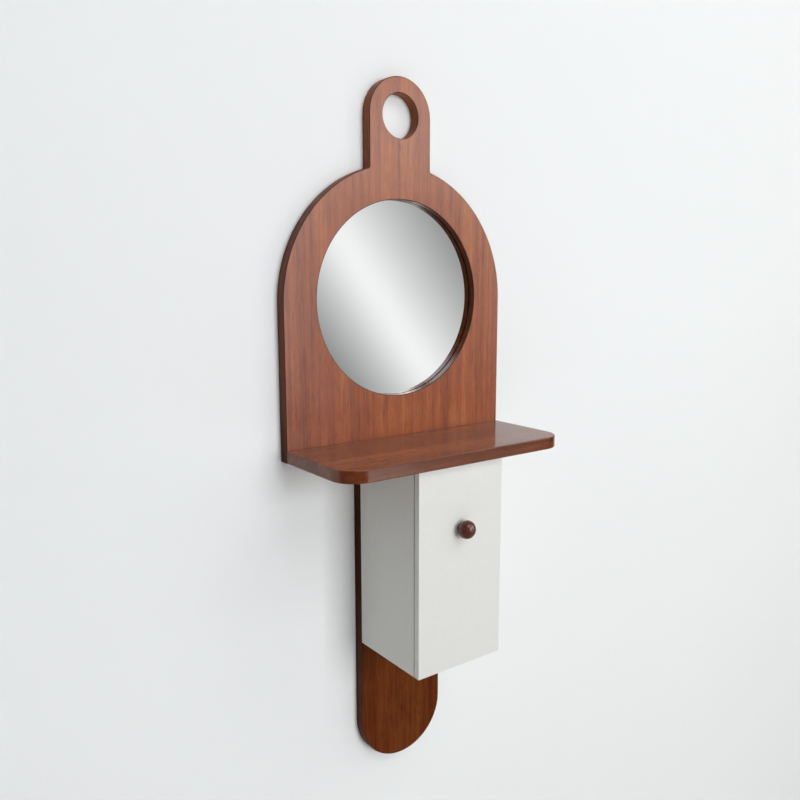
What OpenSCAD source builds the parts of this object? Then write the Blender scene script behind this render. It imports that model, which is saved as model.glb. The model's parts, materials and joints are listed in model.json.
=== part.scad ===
// Wall cabinet with a round mirror, a shelf and one small door, carried by one shaped back board.
// Millimetres. +Z is up, the front faces -Y, and the board's back lies in the plane y = 0.
// The origin is on that plane, midway between the two keyhole plates.

/* [Back board] */
// Width of the board, and so of the arch
board_w = 400; // [380:1:440]
// Thickness of the board
board_t = 18; // [16:0.5:24]
// Straight height of the board's sides, from the arch down to the shelf's top
board_side_h = 205.5; // [190:0.5:260]
// Width of the tab at the top
tab_w = 110; // [105:1:130]
// Height of the tab above the top of the arch
tab_h = 124; // [100:1:160]
// Diameter of the hole in the tab
tab_hole_d = 64; // [40:1:76]
// Length of the tail below the cabinet
tail_below = 215; // [120:1:260]
// Radius that the cutter leaves in an inner corner
cutter_r = 4; // [2:0.5:6]

/* [Mirror] */
// Diameter of the opening that shows the mirror
opening_d = 293; // [240:1:294]
// Diameter of the glass
glass_d = 300; // [298:1:308]
// Thickness of the glass
glass_t = 3; // [2:0.5:5]
// Gap between the rim of the glass and its rabbet
glass_play = 0.5; // [0.2:0.1:1]
// Height of the mirror's centre above the centre of the arch
mirror_rise = 3.5; // [0:0.5:6]
// Thickness of the backing sheet
backing_t = 2; // [1:0.5:3]
// Length of a mirror clip
clip_l = 30; // [26:1:34]
// Width of a mirror clip
clip_w = 12; // [9:0.5:16]
// Thickness of a mirror clip
clip_t = 1; // [0.8:0.1:1.4]
// Number of mirror clips
clip_n = 6; // [6:6:6]

/* [Keyhole plates] */
// Distance between the two plates
plate_spacing = 70; // [56:1:76]
// Width of a plate
plate_w = 18; // [16:1:20]
// Height of a plate
plate_h = 44; // [42:1:48]
// Thickness of a plate
plate_t = 1.5; // [1:0.1:2]
// Distance of the plates above the rim of the glass
plate_above_glass = 40; // [36:1:50]
// Diameter of the round part of the keyhole
key_entry_d = 10; // [8:0.5:11]
// Width of the keyhole's slot
key_slot_w = 5; // [4:0.5:6]
// Distance from the round part up to the end of the slot
key_travel = 10; // [8:0.5:11]
// Diameter of the pocket behind the keyhole
key_pocket_d = 13; // [12:0.5:14]
// Depth of that pocket, from the board's back
key_pocket_depth = 10; // [7:0.5:12]

/* [Shelf] */
// Depth of the shelf, from the face of the board
shelf_d = 155; // [148:1:200]
// Thickness of the shelf
shelf_t = 18; // [16:0.5:24]
// Radius of the shelf's front corners
shelf_corner_r = 36; // [5:1:60]

/* [Cabinet] */
// Width of the cabinet and of the tail behind it
cabinet_w = 154; // [148:1:190]
// Height of the cabinet
cabinet_h = 305; // [270:1:380]
// Depth of the carcass behind the door
carcass_d = 134; // [124:1:140]
// Thickness of the carcass panels
panel_t = 12; // [11:0.5:15]
// Thickness of the cabinet's back
back_t = 6; // [4:0.5:8]
// Width of the rabbet that holds the cabinet's back
back_rabbet = 6; // [4:0.5:7]
// Thickness of the inner shelf
inner_shelf_t = 10; // [6:0.5:12]
// Depth of the inner shelf
inner_shelf_d = 108; // [80:1:112]
// Gap at each end of the inner shelf
inner_shelf_play = 0.5; // [0.3:0.1:1]
// Height of the inner shelf above the cabinet's floor
inner_shelf_up = 136; // [100:1:150]

/* [Door] */
// Thickness of the door
door_t = 10; // [9:0.5:12]
// Gap between the carcass and the door
door_gap = 1.6; // [1.5:0.1:2.4]
// Gap between the shelf and the top of the door
door_top_gap = 2; // [1:0.5:4]

/* [Knob] */
// Largest diameter of the knob
knob_d = 27; // [22:0.5:34]
// Distance that the knob stands out from the door
knob_out = 24; // [22:0.5:32]
// Distance of its widest place from the door
knob_widest = 12; // [11:0.5:14]
// Diameter of its neck
knob_neck_d = 12; // [10:0.5:14]
// Distance of the knob below the top of the door
knob_drop = 92; // [60:1:120]

/* [Hinges] */
// Height of a hinge
hinge_h = 40; // [36:1:50]
// Distance from the middle of a hinge to the end of the door
hinge_inset = 45; // [40:1:60]
// Diameter of the hinge's barrel
barrel_d = 4.4; // [4.2:0.1:5]
// Diameter of the hinge's pin
pin_d = 2; // [1.6:0.1:2.4]
// Width of a hinge leaf
leaf_w = 11; // [9.5:0.5:11]
// Number of knuckles in the barrel
knuckle_n = 5; // [3:2:5]
// Radial clearance between the pin and the door leaf's knuckles
pin_play = 0.05; // [0.02:0.01:0.1]
// Gap between neighbouring knuckles
knuckle_play = 0.2; // [0.1:0.05:0.4]
// Gap between the barrel and the cabinet's side
barrel_play = 0.2; // [0.15:0.05:0.5]
// Gap between the two closed leaves
leaf_play = 0.1; // [0.05:0.05:0.2]

/* [Magnetic catch] */
// Length of the catch along the cabinet's top, over its flanges
catch_l = 46; // [44:1:52]
// Length of the catch's body
catch_body_l = 26; // [22:1:28]
// Depth of the catch
catch_d = 13; // [11:0.5:16]
// Height of the catch's body
catch_h = 10; // [9:0.5:12]
// Thickness of the catch's flanges
catch_flange_t = 2.5; // [2:0.5:4]
// Gap between the catch and the cabinet's left side
catch_side_gap = 2; // [1:0.5:4]
// Gap between the pole plates and the strike plate
catch_play = 0.3; // [0.2:0.1:0.5]
// Thickness of the magnet
magnet_t = 3; // [2:0.5:4]
// Thickness of a pole plate
pole_t = 1; // [0.8:0.1:1.2]
// Length of the magnet and its pole plates
magnet_l = 18; // [14:0.5:20]
// Distance that the pole plates stand out of the body
pole_out = 1; // [0.6:0.1:1.2]
// Thickness of the strike plate
strike_t = 0.8; // [0.6:0.1:1]

/* [Fasteners] */
// Diameter of the small screws, in clips, hinges and the catch
small_screw_d = 2.6; // [2.2:0.1:2.8]
// Head diameter of the small screws
small_head_d = 4.6; // [4:0.1:5]
// Diameter of the panel screws
panel_screw_d = 3.5; // [3:0.1:4]
// Head diameter of the panel screws
panel_head_d = 6.6; // [6:0.1:7]
// Diameter of the shelf screws
shelf_screw_d = 4.5; // [4:0.1:5]
// Head diameter of the shelf screws
shelf_head_d = 8.6; // [8:0.1:9]
// Length of the shelf screws
shelf_screw_l = 60; // [50:1:70]
// Distance of the outer shelf screws from the ends of the shelf
shelf_screw_inset = 50; // [30:1:80]
// Distance of the screws in the cabinet's top from its inner sides
top_screw_inset_x = 30; // [24:1:45]
// Distance of the screws in the cabinet's back from its inner sides
back_screw_inset_x = 14; // [8:1:40]
// Diameter of the carcass dowels
dowel_d = 6; // [5:0.5:7]
// Length of the carcass dowels
dowel_l = 25; // [22:1:28]
// Diameter of the shelf dowels
shelf_dowel_d = 8; // [6:0.5:10]
// Length of the shelf dowels
shelf_dowel_l = 40; // [34:1:46]
// Diameter of the knob's screw
knob_screw_d = 4; // [3:0.5:5]
// Diameter of the pins under the inner shelf
shelf_pin_d = 5; // [4:0.5:6]
// Diameter of the two wall screw holes in the cabinet's back and the tail
wall_hole_d = 5; // [4:0.5:7]

/* [Hidden] */
$fn = 96;
// How far a blend at an inner corner overlaps the outline that it joins
blend_lap = 0.02;

// Heights of the board
glass_r = glass_d / 2;
mirror_z = -(glass_r + plate_above_glass);
arch_r = board_w / 2;
arch_z = mirror_z - mirror_rise;
tab_z = arch_z + arch_r + tab_h - tab_w / 2;
shelf_z = arch_z - board_side_h;
cabinet_z = shelf_z - shelf_t;
floor_z = cabinet_z - cabinet_h;
tail_z = floor_z - tail_below + cabinet_w / 2;

// Depths
face_y = -board_t;
glass_back_y = -(clip_t + backing_t);
glass_face_y = glass_back_y - glass_t;
back_y = face_y - back_t;
carcass_y = face_y - carcass_d;
door_back_y = carcass_y - door_gap;
door_face_y = door_back_y - door_t;

// Cabinet
half_w = cabinet_w / 2;
inner_x = half_w - panel_t;
inner_top_z = cabinet_z - panel_t;
inner_floor_z = floor_z + panel_t;
inner_shelf_z = inner_floor_z + inner_shelf_up;
door_top_z = cabinet_z - door_top_gap;

// Mirror clips: each lies over the glass by clip_over and on the board by the rest of its length
clip_over = 9;
clip_mid_r = glass_r - clip_over + clip_l / 2;
clip_screw_r = glass_r - clip_over + clip_l - clip_w / 2;
clip_screw_l = 12;

// Keyhole plates
plate_screw_z = plate_h / 2 - plate_w / 2 + 2;
plate_screw_l = 14;
plate_play = 0.2;

// Shelf fixing, as distances from the shelf's middle
shelf_screw_x = board_w / 2 - shelf_screw_inset;
shelf_dowel_x = shelf_screw_x / 2;
shelf_dowel_in = 10;
shelf_screw_z = shelf_z - shelf_t / 2;

// Carcass joints and screws
dowel_in_side = panel_t - 4;
dowel_inset = 28;
top_screw_x = inner_x - top_screw_inset_x;
top_screw_inset = 34;
top_screw_l = panel_t + shelf_t - 5;
back_screw_x = inner_x - back_screw_inset_x;
back_screw_inset = 36;
back_screw_l = back_t + board_t - 4;
wall_hole_inset = 60;

// Inner shelf
shelf_pin_in = panel_t - 4;
shelf_pin_out = 8;
shelf_pin_inset = 20;
inner_shelf_back_y = back_y - inner_shelf_play;

// Knob
knob_z = door_top_z - knob_drop;
knob_r = knob_d / 2;
knob_neck_r = knob_neck_d / 2;
knob_foot_r = knob_neck_r + 1.5;
knob_foot_h = 2.5;
knob_steps = 16;
knob_screw_head_d = 8;
knob_screw_head_h = 1.8;
knob_screw_in = 11;

// Hinges: the axis runs beside the cabinet, in the middle of the door's gap
leaf_t = (door_gap - leaf_play) / 2;
barrel_r = barrel_d / 2;
hinge_x = half_w + barrel_r + barrel_play;
hinge_y = carcass_y - door_gap / 2;
hinge_zs = [door_top_z - hinge_inset, floor_z + hinge_inset];
knuckle_h = hinge_h / knuckle_n;
leaf_screw_x = half_w - leaf_w / 2;
leaf_screw_z = hinge_h / 2 - 7;
frame_screw_l = 14;
door_screw_l = door_t - 2;
pin_head_h = 0.8;

// Magnetic catch
catch_x = -inner_x + catch_side_gap + catch_l / 2;
pole_face_y = door_back_y + strike_t + catch_play;
catch_face_y = pole_face_y + pole_out;
catch_back_y = catch_face_y + catch_d;
catch_mid_y = catch_face_y + catch_d / 2;
catch_screw_x = (catch_l + catch_body_l) / 4;
catch_screw_l = 10;
magnet_h = catch_h - 3;
magnet_mid_z = inner_top_z - catch_h / 2 - 0.5;
magnet_d = catch_d - 3;
strike_w = catch_body_l;
strike_h = catch_h;

// Colours
wood = "#7d4730";
dark_wood = "#4a2a20";
lacquer = "#e4e2dc";
raw_panel = "#b59a74";
steel = "#b9bbbd";

// A block between two corners
module block(low, high) {
    translate(low)
        cube(high - low);
}

// A flat outline in X and Z, extruded from y_back towards the front
module slab(y_back, thickness) {
    translate([0, y_back, 0])
        rotate([90, 0, 0])
            linear_extrude(thickness)
                children();
}

// A round bar or hole along Y, centred on [x, z]
module bar_y(x, z, d, y_back, length) {
    translate([x, y_back, z])
        rotate([90, 0, 0])
            cylinder(d = d, h = length);
}

// A strip with round ends, length from end to end
module stadium(w, length) {
    square([w, length - w], center = true);
    for (s = [-1, 1])
        translate([0, s * (length - w) / 2])
            circle(d = w);
}

// A countersunk screw, its head's flat top at z = 0 and its tip below
module screw_body(d, head_d, length) {
    head_h = (head_d - d) / 2;
    translate([0, 0, -length])
        cylinder(d = d, h = length);
    translate([0, 0, -head_h])
        cylinder(d1 = d, d2 = head_d, h = head_h);
}

// The same screw with its cross recess
module screw(d, head_d, length) {
    recess_l = head_d * 0.55;
    recess_w = head_d * 0.14;
    recess_depth = (head_d - d) / 2 * 0.7;
    difference() {
        screw_body(d, head_d, length);
        for (a = [0, 90])
            rotate([0, 0, a])
                translate([-recess_l / 2, -recess_w / 2, -recess_depth])
                    cube([recess_l, recess_w, recess_depth + 1]);
    }
}

// Places, each shared by a fastener and the holes that take it
module at_clips() {
    for (i = [0 : clip_n - 1])
        translate([0, 0, mirror_z])
            rotate([0, i * 360 / clip_n, 0])
                children();
}

module at_clip_screws() {
    at_clips()
        translate([clip_screw_r, 0, 0])
            rotate([-90, 0, 0])
                children();
}

module at_plates() {
    for (s = [-1, 1])
        translate([s * plate_spacing / 2, 0, 0])
            children();
}

module at_plate_screws() {
    at_plates()
        for (s = [-1, 1])
            translate([0, 0, s * plate_screw_z])
                rotate([-90, 0, 0])
                    children();
}

module at_shelf_screws() {
    for (i = [-1 : 1])
        translate([i * shelf_screw_x, 0, shelf_screw_z])
            rotate([-90, 0, 0])
                children();
}

module at_back_screws() {
    for (s = [-1, 1], z = [cabinet_z - back_screw_inset, floor_z + back_screw_inset])
        translate([s * back_screw_x, back_y, z])
            rotate([90, 0, 0])
                children();
}

module at_top_screws() {
    for (s = [-1, 1], y = [face_y - top_screw_inset, carcass_y + top_screw_inset])
        translate([s * top_screw_x, y, inner_top_z])
            rotate([180, 0, 0])
                children();
}

module at_frame_screws() {
    for (z = hinge_zs, s = [-1, 1])
        translate([leaf_screw_x, carcass_y - leaf_t, z + s * leaf_screw_z])
            rotate([90, 0, 0])
                children();
}

module at_door_screws() {
    for (z = hinge_zs, s = [-1, 1])
        translate([leaf_screw_x, door_back_y + leaf_t, z + s * leaf_screw_z])
            rotate([-90, 0, 0])
                children();
}

module at_catch_screws() {
    for (s = [-1, 1])
        translate([catch_x + s * catch_screw_x, catch_mid_y, inner_top_z - catch_flange_t])
            rotate([180, 0, 0])
                children();
}

module at_strike_screw() {
    translate([catch_x, door_back_y + strike_t, magnet_mid_z])
        rotate([-90, 0, 0])
            children();
}

// Outline of the back board, as seen from the front
module board_outline() {
    translate([0, arch_z])
        circle(r = arch_r);
    translate([-arch_r, cabinet_z])
        square([board_w, arch_z - cabinet_z]);
    translate([-tab_w / 2, arch_z])
        square([tab_w, tab_z - arch_z]);
    translate([0, tab_z])
        circle(d = tab_w);
    translate([-half_w, tail_z])
        square([cabinet_w, arch_z - tail_z]);
    translate([0, tail_z])
        circle(d = cabinet_w);
}

// The cutter's radius between the tab and the arch: its centre is one radius from each
module tab_fillet() {
    centre_x = tab_w / 2 + cutter_r;
    centre_up = sqrt(pow(arch_r + cutter_r, 2) - pow(centre_x, 2));
    inside = (arch_r - 1) / (arch_r + cutter_r);
    difference() {
        polygon([
            [tab_w / 2 - 1, arch_z + centre_up * inside],
            [tab_w / 2 - 1, arch_z + centre_up],
            [centre_x, arch_z + centre_up],
            [centre_x * inside, arch_z + centre_up * inside]
        ]);
        translate([centre_x, arch_z + centre_up])
            circle(r = cutter_r - blend_lap);
    }
}

// The cutter's radius between the wide board and the tail
module tail_fillet() {
    difference() {
        translate([half_w - 1, cabinet_z - cutter_r])
            square([cutter_r + 1, cutter_r + 1]);
        translate([half_w + cutter_r, cabinet_z - cutter_r])
            circle(r = cutter_r - blend_lap);
    }
}

module back_board() {
    color(wood)
        difference() {
            union() {
                slab(0, board_t)
                    board_outline();
                for (s = [0, 1])
                    mirror([s, 0, 0])
                        slab(0, board_t) {
                            tab_fillet();
                            tail_fillet();
                        }
            }
            bar_y(0, mirror_z, opening_d, 1, board_t + 2);
            bar_y(0, mirror_z, glass_d + 2 * glass_play, 1, 1 - glass_face_y);
            bar_y(0, tab_z, tab_hole_d, 1, board_t + 2);
            at_clips()
                block([glass_r - clip_over, -clip_t, -clip_w / 2], [glass_r - clip_over + clip_l, 1, clip_w / 2]);
            at_clip_screws()
                screw_body(small_screw_d, small_head_d, clip_screw_l);
            at_plates() {
                slab(1, 1 + plate_t)
                    stadium(plate_w + 2 * plate_play, plate_h + 2 * plate_play);
                slab(1, 1 + key_pocket_depth)
                    stadium(key_pocket_d, key_travel + key_pocket_d);
            }
            at_plate_screws()
                screw_body(panel_screw_d, panel_head_d, plate_screw_l);
            at_shelf_screws()
                screw_body(shelf_screw_d, shelf_head_d, shelf_screw_l);
            shelf_dowels();
            at_back_screws()
                screw_body(panel_screw_d, panel_head_d, back_screw_l);
            wall_holes();
        }
}

// Two holes for screws that go through the cabinet's back and the tail into the wall
module wall_holes() {
    for (z = [cabinet_z - wall_hole_inset, floor_z + wall_hole_inset])
        bar_y(0, z, wall_hole_d, 1, board_t + back_t + 2);
}

module mirror_glass() {
    color("#c8d0d4")
        bar_y(0, mirror_z, glass_d, glass_back_y, glass_t);
}

module mirror_backing() {
    color(raw_panel)
        bar_y(0, mirror_z, glass_d, -clip_t, backing_t);
}

module mirror_clips() {
    color(steel)
        difference() {
            at_clips()
                block([glass_r - clip_over, -clip_t, -clip_w / 2], [glass_r - clip_over + clip_l, 0, clip_w / 2]);
            at_clip_screws()
                screw_body(small_screw_d, small_head_d, clip_screw_l);
        }
}

module mirror_clip_screws() {
    color(steel)
        at_clip_screws()
            screw(small_screw_d, small_head_d, clip_screw_l);
}

module keyhole_plates() {
    color(steel)
        difference() {
            at_plates()
                slab(0, plate_t)
                    difference() {
                        stadium(plate_w, plate_h);
                        translate([0, -key_travel / 2])
                            circle(d = key_entry_d);
                        stadium(key_slot_w, key_travel + key_slot_w);
                    }
            at_plate_screws()
                screw_body(panel_screw_d, panel_head_d, plate_screw_l);
        }
}

module keyhole_plate_screws() {
    color(steel)
        at_plate_screws()
            screw(panel_screw_d, panel_head_d, plate_screw_l);
}

// Outline of the shelf in X and Y, its back edge on the face of the board
module shelf_outline() {
    r = shelf_corner_r;
    translate([-board_w / 2, face_y - shelf_d + r])
        square([board_w, shelf_d - r]);
    translate([-board_w / 2 + r, face_y - shelf_d])
        square([board_w - 2 * r, shelf_d]);
    for (s = [-1, 1])
        translate([s * (board_w / 2 - r), face_y - shelf_d + r])
            circle(r = r);
}

module shelf() {
    color(wood)
        difference() {
            translate([0, 0, cabinet_z])
                linear_extrude(shelf_t)
                    shelf_outline();
            at_shelf_screws()
                screw_body(shelf_screw_d, shelf_head_d, shelf_screw_l);
            shelf_dowels();
            at_top_screws()
                screw_body(panel_screw_d, panel_head_d, top_screw_l);
        }
}

module shelf_screws() {
    color(steel)
        at_shelf_screws()
            screw(shelf_screw_d, shelf_head_d, shelf_screw_l);
}

module shelf_dowels() {
    color(raw_panel)
        for (s = [-1, 1])
            bar_y(s * shelf_dowel_x, shelf_screw_z, shelf_dowel_d, face_y + shelf_dowel_in, shelf_dowel_l);
}

// The left side; the right side is its mirror image
module side_panel() {
    difference() {
        block([-half_w, carcass_y, floor_z], [-inner_x, face_y, cabinet_z]);
        back_rabbet_cut();
        cabinet_dowels();
        inner_shelf_pins();
    }
}

// The room that the cabinet's back takes out of the carcass panels
module back_rabbet_cut() {
    block([-inner_x - back_rabbet, back_y, inner_floor_z - back_rabbet],
        [inner_x + back_rabbet, face_y + 1, inner_top_z + back_rabbet]);
}

module cabinet_left_side() {
    color(lacquer)
        side_panel();
}

module cabinet_right_side() {
    color(lacquer)
        difference() {
            mirror([1, 0, 0])
                side_panel();
            at_frame_screws()
                screw_body(small_screw_d, small_head_d, frame_screw_l);
        }
}

module cabinet_top() {
    color(lacquer)
        difference() {
            block([-inner_x, carcass_y, inner_top_z], [inner_x, face_y, cabinet_z]);
            back_rabbet_cut();
            cabinet_dowels();
            at_top_screws()
                screw_body(panel_screw_d, panel_head_d, top_screw_l);
            at_catch_screws()
                screw_body(small_screw_d, small_head_d, catch_screw_l);
        }
}

module cabinet_bottom() {
    color(lacquer)
        difference() {
            block([-inner_x, carcass_y, floor_z], [inner_x, face_y, inner_floor_z]);
            back_rabbet_cut();
            cabinet_dowels();
        }
}

module cabinet_back() {
    color(lacquer)
        difference() {
            block([-inner_x - back_rabbet, back_y, inner_floor_z - back_rabbet],
                [inner_x + back_rabbet, face_y, inner_top_z + back_rabbet]);
            at_back_screws()
                screw_body(panel_screw_d, panel_head_d, back_screw_l);
            wall_holes();
        }
}

module cabinet_dowels() {
    color(raw_panel)
        for (s = [0, 1], y = [back_y - dowel_inset, carcass_y + dowel_inset],
                z = [cabinet_z - panel_t / 2, floor_z + panel_t / 2])
            mirror([s, 0, 0])
                translate([inner_x + dowel_in_side - dowel_l, y, z])
                    rotate([0, 90, 0])
                        cylinder(d = dowel_d, h = dowel_l);
}

module cabinet_top_screws() {
    color(steel)
        at_top_screws()
            screw(panel_screw_d, panel_head_d, top_screw_l);
}

module cabinet_back_screws() {
    color(steel)
        at_back_screws()
            screw(panel_screw_d, panel_head_d, back_screw_l);
}

module inner_shelf() {
    color(lacquer)
        block([-inner_x + inner_shelf_play, inner_shelf_back_y - inner_shelf_d, inner_shelf_z],
            [inner_x - inner_shelf_play, inner_shelf_back_y, inner_shelf_z + inner_shelf_t]);
}

module inner_shelf_pins() {
    color(steel)
        for (s = [0, 1], y = [inner_shelf_back_y - shelf_pin_inset,
                inner_shelf_back_y - inner_shelf_d + shelf_pin_inset])
            mirror([s, 0, 0])
                translate([inner_x - shelf_pin_out, y, inner_shelf_z - shelf_pin_d / 2])
                    rotate([0, 90, 0])
                        cylinder(d = shelf_pin_d, h = shelf_pin_in + shelf_pin_out);
}

module door() {
    color(lacquer)
        difference() {
            block([-half_w, door_face_y, floor_z], [half_w, door_back_y, door_top_z]);
            bar_y(0, knob_z, knob_screw_d, door_back_y + 1, door_t + 2);
            at_door_screws()
                screw_body(small_screw_d, small_head_d, door_screw_l);
            at_strike_screw()
                screw_body(small_screw_d, small_head_d, door_screw_l);
        }
}

// Half profile of the knob: radius against distance from the door
function knob_front(a) = [knob_r * cos(a), knob_widest + (knob_out - knob_widest) * sin(a)];
function knob_rear(a) = [
    knob_neck_r + (knob_r - knob_neck_r) * cos(a),
    knob_widest - (knob_widest - knob_foot_h - 1) * sin(a)
];

module knob() {
    front = [for (i = [0 : knob_steps]) knob_front(90 - i * 90 / knob_steps)];
    rear = [for (i = [1 : knob_steps]) knob_rear(i * 90 / knob_steps)];
    foot = [[knob_neck_r, knob_foot_h], [knob_foot_r, 0], [0, 0]];
    color(dark_wood)
        translate([0, door_face_y, knob_z])
            rotate([90, 0, 0])
                difference() {
                    rotate_extrude()
                        polygon(concat([[0, knob_out]], [for (i = [1 : knob_steps]) front[i]], rear, foot));
                    translate([0, 0, -1])
                        cylinder(d = knob_screw_d, h = knob_screw_in + 1);
                }
}

module knob_screw() {
    color(steel) {
        bar_y(0, knob_z, knob_screw_d, door_back_y, door_t + knob_screw_in);
        difference() {
            bar_y(0, knob_z, knob_screw_head_d, door_back_y + knob_screw_head_h, knob_screw_head_h);
            translate([-knob_screw_head_d / 4, door_back_y + knob_screw_head_h / 2, knob_z - 0.5])
                cube([knob_screw_head_d / 2, knob_screw_head_h, 1]);
            translate([-0.5, door_back_y + knob_screw_head_h / 2, knob_z - knob_screw_head_d / 4])
                cube([1, knob_screw_head_h, knob_screw_head_d / 2]);
        }
    }
}

// One hinge leaf about its own middle. first is its first knuckle, and every second one is its own.
module hinge_leaf(middle_z, y_low, first, bore_d) {
    translate([0, 0, middle_z])
        difference() {
            union() {
                block([half_w - leaf_w, y_low, -hinge_h / 2], [half_w, y_low + leaf_t, hinge_h / 2]);
                for (i = [first : 2 : knuckle_n - 1]) {
                    low_z = -hinge_h / 2 + i * knuckle_h + knuckle_play / 2;
                    high_z = low_z + knuckle_h - knuckle_play;
                    block([half_w - 1, y_low, low_z], [hinge_x, y_low + leaf_t, high_z]);
                    translate([hinge_x, hinge_y, low_z])
                        cylinder(d = barrel_d, h = high_z - low_z);
                }
            }
            translate([hinge_x, hinge_y, -hinge_h / 2 - 1])
                cylinder(d = bore_d, h = hinge_h + 2);
        }
}

module frame_leaf(middle_z) {
    color(steel)
        difference() {
            hinge_leaf(middle_z, carcass_y - leaf_t, 0, pin_d);
            at_frame_screws()
                screw_body(small_screw_d, small_head_d, frame_screw_l);
        }
}

module door_leaf(middle_z) {
    color(steel)
        difference() {
            hinge_leaf(middle_z, door_back_y, 1, pin_d + 2 * pin_play);
            at_door_screws()
                screw_body(small_screw_d, small_head_d, door_screw_l);
        }
}

module hinge_pin(middle_z) {
    end_z = hinge_h / 2 - knuckle_play / 2;
    color(steel)
        translate([hinge_x, hinge_y, middle_z]) {
            translate([0, 0, -end_z])
                cylinder(d = pin_d, h = 2 * end_z);
            for (s = [0, 1])
                mirror([0, 0, s])
                    translate([0, 0, end_z])
                        cylinder(d1 = barrel_d, d2 = pin_d, h = pin_head_h);
        }
}

module upper_hinge_frame_leaf() {
    frame_leaf(hinge_zs[0]);
}

module upper_hinge_door_leaf() {
    door_leaf(hinge_zs[0]);
}

module upper_hinge_pin() {
    hinge_pin(hinge_zs[0]);
}

module lower_hinge_frame_leaf() {
    frame_leaf(hinge_zs[1]);
}

module lower_hinge_door_leaf() {
    door_leaf(hinge_zs[1]);
}

module lower_hinge_pin() {
    hinge_pin(hinge_zs[1]);
}

module hinge_frame_screws() {
    color(steel)
        at_frame_screws()
            screw(small_screw_d, small_head_d, frame_screw_l);
}

module hinge_door_screws() {
    color(steel)
        at_door_screws()
            screw(small_screw_d, small_head_d, door_screw_l);
}

// The magnet and its pole plates fill one pocket in the body, open at the front
module catch_pocket(depth) {
    half = magnet_t / 2 + pole_t;
    block([catch_x - magnet_l / 2, catch_face_y - 1, magnet_mid_z - half],
        [catch_x + magnet_l / 2, catch_face_y + depth, magnet_mid_z + half]);
}

module catch_housing() {
    color("white")
        difference() {
            union() {
                block([catch_x - catch_l / 2, catch_face_y, inner_top_z - catch_flange_t],
                    [catch_x + catch_l / 2, catch_back_y, inner_top_z]);
                block([catch_x - catch_body_l / 2, catch_face_y, inner_top_z - catch_h],
                    [catch_x + catch_body_l / 2, catch_back_y, inner_top_z]);
            }
            catch_pocket(magnet_d);
            at_catch_screws()
                screw_body(small_screw_d, small_head_d, catch_screw_l);
        }
}

module catch_magnet() {
    color("#3a3a3c")
        block([catch_x - magnet_l / 2, catch_face_y, magnet_mid_z - magnet_t / 2],
            [catch_x + magnet_l / 2, catch_face_y + magnet_d, magnet_mid_z + magnet_t / 2]);
}

module catch_poles() {
    color(steel)
        for (s = [0, 1])
            translate([0, 0, magnet_mid_z])
                mirror([0, 0, s])
                    block([catch_x - magnet_l / 2, pole_face_y, magnet_t / 2],
                        [catch_x + magnet_l / 2, catch_face_y + magnet_d, magnet_t / 2 + pole_t]);
}

module catch_screws() {
    color(steel)
        at_catch_screws()
            screw(small_screw_d, small_head_d, catch_screw_l);
}

module strike_plate() {
    color(steel)
        difference() {
            block([catch_x - strike_w / 2, door_back_y, magnet_mid_z - strike_h / 2],
                [catch_x + strike_w / 2, door_back_y + strike_t, magnet_mid_z + strike_h / 2]);
            at_strike_screw()
                screw_body(small_screw_d, small_head_d, door_screw_l);
        }
}

module strike_screw() {
    color(steel)
        at_strike_screw()
            screw(small_screw_d, small_head_d, door_screw_l);
}

back_board();
mirror_glass();
mirror_backing();
mirror_clips();
mirror_clip_screws();
keyhole_plates();
keyhole_plate_screws();
shelf();
shelf_screws();
shelf_dowels();
cabinet_left_side();
cabinet_right_side();
cabinet_top();
cabinet_bottom();
cabinet_back();
cabinet_dowels();
cabinet_top_screws();
cabinet_back_screws();
inner_shelf();
inner_shelf_pins();
door();
knob();
knob_screw();
upper_hinge_frame_leaf();
upper_hinge_door_leaf();
upper_hinge_pin();
lower_hinge_frame_leaf();
lower_hinge_door_leaf();
lower_hinge_pin();
hinge_frame_screws();
hinge_door_screws();
catch_housing();
catch_magnet();
catch_poles();
catch_screws();
strike_plate();
strike_screw();
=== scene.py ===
# %% [markdown]
# # A wall cabinet with a round mirror
# This lesson dresses a finished CAD part. A shaped walnut board hangs on a wall. It carries a round
# mirror, a shelf, and under the shelf a small lacquered cabinet with one door.
# The CAD part is the frame: its pieces stay where they are. We rebuild the pieces whose edges we see,
# give every piece a material made from nodes, and light the whole with large soft lamps.
# All lengths are metres in Blender. Sizes that we type are in millimetres, so MM turns them into metres.

# %% Load the frame
import json
import math

import bmesh
import bpy
from mathutils import Matrix, Vector

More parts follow.
